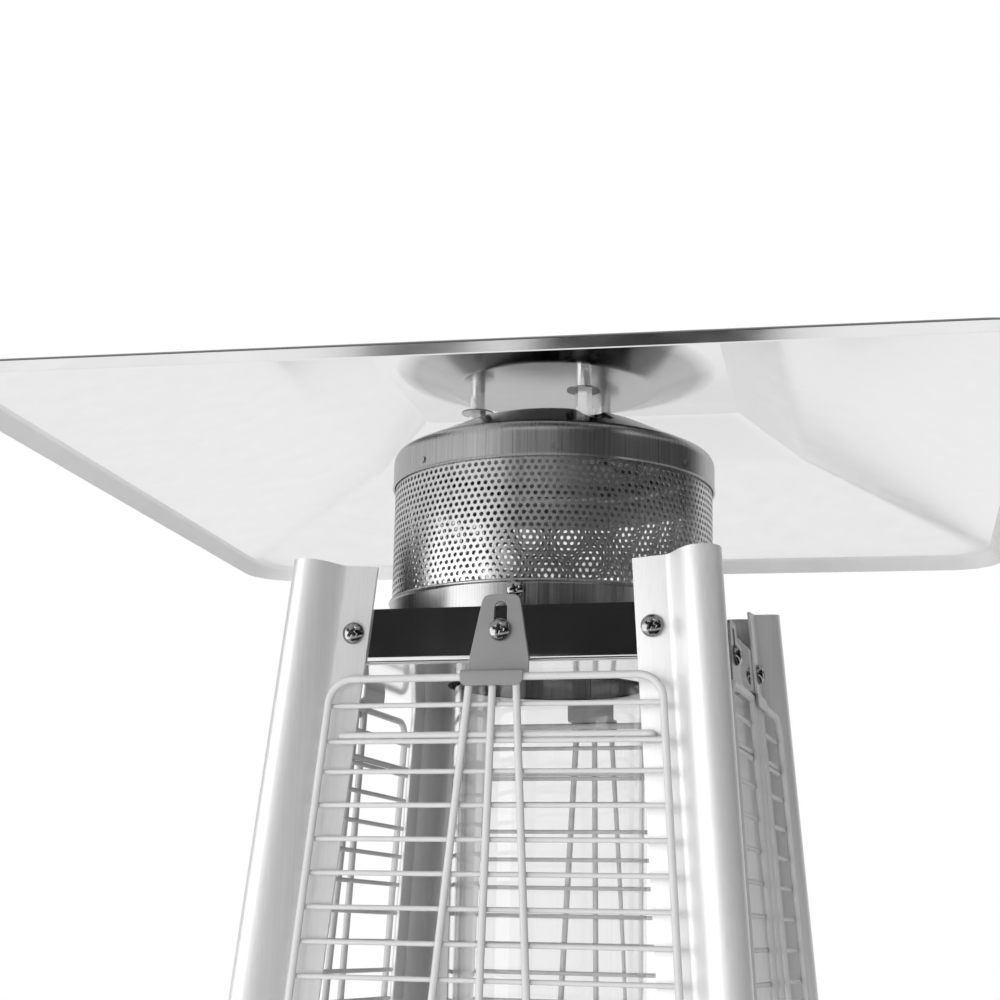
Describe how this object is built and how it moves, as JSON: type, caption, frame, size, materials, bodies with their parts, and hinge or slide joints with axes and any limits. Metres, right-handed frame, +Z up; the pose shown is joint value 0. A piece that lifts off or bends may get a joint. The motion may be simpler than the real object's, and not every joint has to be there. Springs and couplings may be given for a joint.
{
  "type": "pyramid patio heater",
  "caption": "Free-standing gas patio heater: four leaning posts round a glass flame tube, wire guards, a perforated screen and a square reflector.",
  "frame": {"origin": "on the floor under the middle of the heater", "axes": "+Z up, the door and controls face -Y, +X to the right of someone who looks at the door"},
  "size_m": [0.6536, 0.6536, 2.2635],
  "materials": {
    "polished_aluminium": "brushed satin extrusion with a bright sheen",
    "mirror_steel": "mirror polished",
    "satin_steel": "fine vertical grain",
    "perforated_steel": "satin sheet with punched holes",
    "reflector_sheet": "satin underside, polished dish",
    "zinc_plate": "matt zinc grey",
    "guard_wire": "matt light grey coat",
    "bright_screws": "nickel plated",
    "tube_glass": "clear",
    "cabinet_steel": "brushed",
    "tray_steel": "hammered grey coat",
    "black_plastic": "fine grain",
    "black_rubber": "dull",
    "brass": "machined",
    "ceramic_white": "glazed",
    "grey_lead": "sleeved wire",
    "dark_magnet": "dull brown black"
  },
  "bodies": {
    "frame": {"base_tray": "tray_steel", "feet": "black_rubber", "wheel_forks": "zinc_plate", "wheel_axles": "bright_screws", "post_rear_right": "polished_aluminium", "post_rear_left": "polished_aluminium", "post_front_left": "polished_aluminium", "post_front_right": "polished_aluminium", "post_feet": "zinc_plate", "side_panel_right": "cabinet_steel", "rear_panel": "cabinet_steel", "side_panel_left": "cabinet_steel", "panel_screws": "bright_screws", "hinge_brackets": "zinc_plate", "hinge_pins": "bright_screws", "door_magnet": "dark_magnet", "burner_deck": "zinc_plate", "frame_screws": "bright_screws", "control_plate": "cabinet_steel", "gas_valve": "brass", "gas_inlet": "brass", "igniter_body": "black_plastic", "gas_pipes": "brass", "jet_holder": "brass", "burner_cup": "cabinet_steel", "burner_gauze": "cabinet_steel", "pilot_burner": "brass", "thermocouple": "brass", "spark_electrode": "ceramic_white", "ignition_lead": "grey_lead", "tilt_switch": "black_plastic", "tube_gasket": "black_rubber", "glass_tube": "tube_glass", "upper_pan": "mirror_steel", "burner_screen": "perforated_steel", "screen_collar": "satin_steel", "collar_screws": "bright_screws", "screen_cap": "mirror_steel", "cap_rivets": "bright_screws", "standoffs": "satin_steel", "standoff_washers": "bright_screws", "standoff_spacers": "satin_steel", "standoff_studs": "bright_screws", "wing_nuts": "bright_screws", "reflector": "reflector_sheet", "guard_front": "guard_wire", "guard_right": "guard_wire", "guard_rear": "guard_wire", "guard_left": "guard_wire"},
    "wheel_left": {"wheel_left": "black_rubber"},
    "wheel_right": {"wheel_right": "black_rubber"},
    "valve_stem": {"valve_stem": "bright_screws"},
    "knob": {"control_knob": "black_plastic"},
    "igniter_button": {"igniter_button": "black_plastic"},
    "door": {"door_panel": "cabinet_steel", "door_pull": "bright_screws"},
    "clip_front": {"clip_front": "zinc_plate"},
    "clip_right": {"clip_right": "zinc_plate"},
    "clip_rear": {"clip_rear": "zinc_plate"},
    "clip_left": {"clip_left": "zinc_plate"}
  },
  "joints": [
    {"name": "wheel_left_spin", "type": "hinge", "parent": "frame", "child": "wheel_left", "pos_m": [-0.19, 0.2785, 0.0285], "axis": [1, 0, 0], "continuous": true},
    {"name": "wheel_right_spin", "type": "hinge", "parent": "frame", "child": "wheel_right", "pos_m": [0.19, 0.2785, 0.0285], "axis": [1, 0, 0], "continuous": true},
    {"name": "knob_push", "type": "slide", "parent": "frame", "child": "valve_stem", "axis": [0, 0.997, -0.0773], "range_m": [0, 0.004], "stiffness_N_per_m": 1200, "springref_m": -0.002},
    {"name": "knob_turn", "type": "hinge", "parent": "valve_stem", "child": "knob", "pos_m": [-0.06, -0.2178, 0.818], "axis": [0, -0.997, 0.0773], "range_deg": [0, 180]},
    {"name": "igniter_push", "type": "slide", "parent": "frame", "child": "igniter_button", "axis": [0, 0.997, -0.0773], "range_m": [0, 0.006], "stiffness_N_per_m": 900, "springref_m": -0.002},
    {"name": "door_hinge", "type": "hinge", "parent": "frame", "child": "door", "pos_m": [-0.19931, -0.2418, 0.418], "axis": [-0.077, -0.077, -0.994], "range_deg": [0, 110]},
    {"name": "clip_front_slide", "type": "slide", "parent": "frame", "child": "clip_front", "axis": [0, 0.0773, 0.997], "range_m": [0, 0.0035]},
    {"name": "clip_right_slide", "type": "slide", "parent": "frame", "child": "clip_right", "axis": [-0.0773, 0, 0.997], "range_m": [0, 0.0035]},
    {"name": "clip_rear_slide", "type": "slide", "parent": "frame", "child": "clip_rear", "axis": [0, -0.0773, 0.997], "range_m": [0, 0.0035]},
    {"name": "clip_left_slide", "type": "slide", "parent": "frame", "child": "clip_left", "axis": [0.0773, 0, 0.997], "range_m": [0, 0.0035]}
  ]
}
